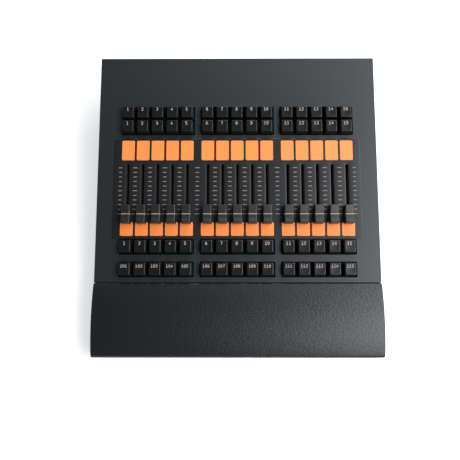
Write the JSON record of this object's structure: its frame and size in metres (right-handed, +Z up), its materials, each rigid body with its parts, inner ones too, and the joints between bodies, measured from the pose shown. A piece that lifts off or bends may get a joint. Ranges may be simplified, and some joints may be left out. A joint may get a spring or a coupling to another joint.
{
  "type": "lighting fader wing",
  "caption": "Desk-top lighting fader wing: a sloping panel with sliding faders, numbered keys and orange label fields, and a curved palm rest in front.",
  "frame": {"origin": "on the table under the middle of the unit's box", "axes": "+X to the operator's right, +Y to the back, +Z up; the panel rises 7.5 degrees to the back"},
  "size_m": [0.3608, 0.3842, 0.0793],
  "materials": {
    "case_paint": "satin",
    "palm_plastic": "fine grained satin",
    "plate_paint": "satin",
    "label_orange": "matt",
    "board": "satin",
    "key_plastic": "semi-gloss",
    "cap_plastic": "satin",
    "connector_black": "satin",
    "supply_case": "plain zinc",
    "rubber": "matt"
  },
  "bodies": {
    "case": {"base_tray": "case_paint", "top_panel": "case_paint", "palm_rest": "palm_plastic", "fader_plate": "plate_paint", "upper_label_strip": "label_orange", "lower_label_strip": "label_orange", "main_board": "board", "upper_key_board": "key_plastic", "power_inlet": "connector_black", "usb_socket": "connector_black", "power_supply": "supply_case", "foot_front_left": "rubber", "foot_front_right": "rubber", "foot_rear_left": "rubber", "foot_rear_right": "rubber"},
    "fader_01": {"fader_01": "cap_plastic"},
    "fader_02": {"fader_02": "cap_plastic"},
    "fader_03": {"fader_03": "cap_plastic"},
    "fader_04": {"fader_04": "cap_plastic"},
    "fader_05": {"fader_05": "cap_plastic"},
    "fader_06": {"fader_06": "cap_plastic"},
    "fader_07": {"fader_07": "cap_plastic"},
    "fader_08": {"fader_08": "cap_plastic"},
    "fader_09": {"fader_09": "cap_plastic"},
    "fader_10": {"fader_10": "cap_plastic"},
    "fader_11": {"fader_11": "cap_plastic"},
    "fader_12": {"fader_12": "cap_plastic"},
    "fader_13": {"fader_13": "cap_plastic"},
    "fader_14": {"fader_14": "cap_plastic"},
    "fader_15": {"fader_15": "cap_plastic"},
    "flash_key_01": {"flash_key_01": "key_plastic"},
    "flash_key_02": {"flash_key_02": "key_plastic"},
    "flash_key_03": {"flash_key_03": "key_plastic"},
    "flash_key_04": {"flash_key_04": "key_plastic"},
    "flash_key_05": {"flash_key_05": "key_plastic"},
    "flash_key_06": {"flash_key_06": "key_plastic"},
    "flash_key_07": {"flash_key_07": "key_plastic"},
    "flash_key_08": {"flash_key_08": "key_plastic"},
    "flash_key_09": {"flash_key_09": "key_plastic"},
    "flash_key_10": {"flash_key_10": "key_plastic"},
    "flash_key_11": {"flash_key_11": "key_plastic"},
    "flash_key_12": {"flash_key_12": "key_plastic"},
    "flash_key_13": {"flash_key_13": "key_plastic"},
    "flash_key_14": {"flash_key_14": "key_plastic"},
    "flash_key_15": {"flash_key_15": "key_plastic"},
    "button_101": {"button_101": "key_plastic"},
    "button_102": {"button_102": "key_plastic"},
    "button_103": {"button_103": "key_plastic"},
    "button_104": {"button_104": "key_plastic"},
    "button_105": {"button_105": "key_plastic"},
    "button_106": {"button_106": "key_plastic"},
    "button_107": {"button_107": "key_plastic"},
    "button_108": {"button_108": "key_plastic"},
    "button_109": {"button_109": "key_plastic"},
    "button_110": {"button_110": "key_plastic"},
    "button_111": {"button_111": "key_plastic"},
    "button_112": {"button_112": "key_plastic"},
    "button_113": {"button_113": "key_plastic"},
    "button_114": {"button_114": "key_plastic"},
    "button_115": {"button_115": "key_plastic"}
  },
  "joints": [
    {"name": "fader_01_slide", "type": "slide", "parent": "case", "child": "fader_01", "axis": [0, 0.9914, 0.1305], "range_m": [0, 0.0615]},
    {"name": "fader_02_slide", "type": "slide", "parent": "case", "child": "fader_02", "axis": [0, 0.9914, 0.1305], "range_m": [0, 0.0615]},
    {"name": "fader_03_slide", "type": "slide", "parent": "case", "child": "fader_03", "axis": [0, 0.9914, 0.1305], "range_m": [0, 0.0615]},
    {"name": "fader_04_slide", "type": "slide", "parent": "case", "child": "fader_04", "axis": [0, 0.9914, 0.1305], "range_m": [0, 0.0615]},
    {"name": "fader_05_slide", "type": "slide", "parent": "case", "child": "fader_05", "axis": [0, 0.9914, 0.1305], "range_m": [0, 0.0615]},
    {"name": "fader_06_slide", "type": "slide", "parent": "case", "child": "fader_06", "axis": [0, 0.9914, 0.1305], "range_m": [0, 0.0615]},
    {"name": "fader_07_slide", "type": "slide", "parent": "case", "child": "fader_07", "axis": [0, 0.9914, 0.1305], "range_m": [0, 0.0615]},
    {"name": "fader_08_slide", "type": "slide", "parent": "case", "child": "fader_08", "axis": [0, 0.9914, 0.1305], "range_m": [0, 0.0615]},
    {"name": "fader_09_slide", "type": "slide", "parent": "case", "child": "fader_09", "axis": [0, 0.9914, 0.1305], "range_m": [0, 0.0615]},
    {"name": "fader_10_slide", "type": "slide", "parent": "case", "child": "fader_10", "axis": [0, 0.9914, 0.1305], "range_m": [0, 0.0615]},
    {"name": "fader_11_slide", "type": "slide", "parent": "case", "child": "fader_11", "axis": [0, 0.9914, 0.1305], "range_m": [0, 0.0615]},
    {"name": "fader_12_slide", "type": "slide", "parent": "case", "child": "fader_12", "axis": [0, 0.9914, 0.1305], "range_m": [0, 0.0615]},
    {"name": "fader_13_slide", "type": "slide", "parent": "case", "child": "fader_13", "axis": [0, 0.9914, 0.1305], "range_m": [0, 0.0615]},
    {"name": "fader_14_slide", "type": "slide", "parent": "case", "child": "fader_14", "axis": [0, 0.9914, 0.1305], "range_m": [0, 0.0615]},
    {"name": "fader_15_slide", "type": "slide", "parent": "case", "child": "fader_15", "axis": [0, 0.9914, 0.1305], "range_m": [0, 0.0615]},
    {"name": "flash_key_01_press", "type": "slide", "parent": "case", "child": "flash_key_01", "axis": [0, 0.1305, -0.9914], "range_m": [0, 0.0015], "stiffness_N_per_m": 300, "springref_m": -0.001},
    {"name": "flash_key_02_press", "type": "slide", "parent": "case", "child": "flash_key_02", "axis": [0, 0.1305, -0.9914], "range_m": [0, 0.0015], "stiffness_N_per_m": 300, "springref_m": -0.001},
    {"name": "flash_key_03_press", "type": "slide", "parent": "case", "child": "flash_key_03", "axis": [0, 0.1305, -0.9914], "range_m": [0, 0.0015], "stiffness_N_per_m": 300, "springref_m": -0.001},
    {"name": "flash_key_04_press", "type": "slide", "parent": "case", "child": "flash_key_04", "axis": [0, 0.1305, -0.9914], "range_m": [0, 0.0015], "stiffness_N_per_m": 300, "springref_m": -0.001},
    {"name": "flash_key_05_press", "type": "slide", "parent": "case", "child": "flash_key_05", "axis": [0, 0.1305, -0.9914], "range_m": [0, 0.0015], "stiffness_N_per_m": 300, "springref_m": -0.001},
    {"name": "flash_key_06_press", "type": "slide", "parent": "case", "child": "flash_key_06", "axis": [0, 0.1305, -0.9914], "range_m": [0, 0.0015], "stiffness_N_per_m": 300, "springref_m": -0.001},
    {"name": "flash_key_07_press", "type": "slide", "parent": "case", "child": "flash_key_07", "axis": [0, 0.1305, -0.9914], "range_m": [0, 0.0015], "stiffness_N_per_m": 300, "springref_m": -0.001},
    {"name": "flash_key_08_press", "type": "slide", "parent": "case", "child": "flash_key_08", "axis": [0, 0.1305, -0.9914], "range_m": [0, 0.0015], "stiffness_N_per_m": 300, "springref_m": -0.001},
    {"name": "flash_key_09_press", "type": "slide", "parent": "case", "child": "flash_key_09", "axis": [0, 0.1305, -0.9914], "range_m": [0, 0.0015], "stiffness_N_per_m": 300, "springref_m": -0.001},
    {"name": "flash_key_10_press", "type": "slide", "parent": "case", "child": "flash_key_10", "axis": [0, 0.1305, -0.9914], "range_m": [0, 0.0015], "stiffness_N_per_m": 300, "springref_m": -0.001},
    {"name": "flash_key_11_press", "type": "slide", "parent": "case", "child": "flash_key_11", "axis": [0, 0.1305, -0.9914], "range_m": [0, 0.0015], "stiffness_N_per_m": 300, "springref_m": -0.001},
    {"name": "flash_key_12_press", "type": "slide", "parent": "case", "child": "flash_key_12", "axis": [0, 0.1305, -0.9914], "range_m": [0, 0.0015], "stiffness_N_per_m": 300, "springref_m": -0.001},
    {"name": "flash_key_13_press", "type": "slide", "parent": "case", "child": "flash_key_13", "axis": [0, 0.1305, -0.9914], "range_m": [0, 0.0015], "stiffness_N_per_m": 300, "springref_m": -0.001},
    {"name": "flash_key_14_press", "type": "slide", "parent": "case", "child": "flash_key_14", "axis": [0, 0.1305, -0.9914], "range_m": [0, 0.0015], "stiffness_N_per_m": 300, "springref_m": -0.001},
    {"name": "flash_key_15_press", "type": "slide", "parent": "case", "child": "flash_key_15", "axis": [0, 0.1305, -0.9914], "range_m": [0, 0.0015], "stiffness_N_per_m": 300, "springref_m": -0.001},
    {"name": "button_101_press", "type": "slide", "parent": "case", "child": "button_101", "axis": [0, 0.1305, -0.9914], "range_m": [0, 0.0015], "stiffness_N_per_m": 300, "springref_m": -0.001},
    {"name": "button_102_press", "type": "slide", "parent": "case", "child": "button_102", "axis": [0, 0.1305, -0.9914], "range_m": [0, 0.0015], "stiffness_N_per_m": 300, "springref_m": -0.001},
    {"name": "button_103_press", "type": "slide", "parent": "case", "child": "button_103", "axis": [0, 0.1305, -0.9914], "range_m": [0, 0.0015], "stiffness_N_per_m": 300, "springref_m": -0.001},
    {"name": "button_104_press", "type": "slide", "parent": "case", "child": "button_104", "axis": [0, 0.1305, -0.9914], "range_m": [0, 0.0015], "stiffness_N_per_m": 300, "springref_m": -0.001},
    {"name": "button_105_press", "type": "slide", "parent": "case", "child": "button_105", "axis": [0, 0.1305, -0.9914], "range_m": [0, 0.0015], "stiffness_N_per_m": 300, "springref_m": -0.001},
    {"name": "button_106_press", "type": "slide", "parent": "case", "child": "button_106", "axis": [0, 0.1305, -0.9914], "range_m": [0, 0.0015], "stiffness_N_per_m": 300, "springref_m": -0.001},
    {"name": "button_107_press", "type": "slide", "parent": "case", "child": "button_107", "axis": [0, 0.1305, -0.9914], "range_m": [0, 0.0015], "stiffness_N_per_m": 300, "springref_m": -0.001},
    {"name": "button_108_press", "type": "slide", "parent": "case", "child": "button_108", "axis": [0, 0.1305, -0.9914], "range_m": [0, 0.0015], "stiffness_N_per_m": 300, "springref_m": -0.001},
    {"name": "button_109_press", "type": "slide", "parent": "case", "child": "button_109", "axis": [0, 0.1305, -0.9914], "range_m": [0, 0.0015], "stiffness_N_per_m": 300, "springref_m": -0.001},
    {"name": "button_110_press", "type": "slide", "parent": "case", "child": "button_110", "axis": [0, 0.1305, -0.9914], "range_m": [0, 0.0015], "stiffness_N_per_m": 300, "springref_m": -0.001},
    {"name": "button_111_press", "type": "slide", "parent": "case", "child": "button_111", "axis": [0, 0.1305, -0.9914], "range_m": [0, 0.0015], "stiffness_N_per_m": 300, "springref_m": -0.001},
    {"name": "button_112_press", "type": "slide", "parent": "case", "child": "button_112", "axis": [0, 0.1305, -0.9914], "range_m": [0, 0.0015], "stiffness_N_per_m": 300, "springref_m": -0.001},
    {"name": "button_113_press", "type": "slide", "parent": "case", "child": "button_113", "axis": [0, 0.1305, -0.9914], "range_m": [0, 0.0015], "stiffness_N_per_m": 300, "springref_m": -0.001},
    {"name": "button_114_press", "type": "slide", "parent": "case", "child": "button_114", "axis": [0, 0.1305, -0.9914], "range_m": [0, 0.0015], "stiffness_N_per_m": 300, "springref_m": -0.001},
    {"name": "button_115_press", "type": "slide", "parent": "case", "child": "button_115", "axis": [0, 0.1305, -0.9914], "range_m": [0, 0.0015], "stiffness_N_per_m": 300, "springref_m": -0.001}
  ]
}
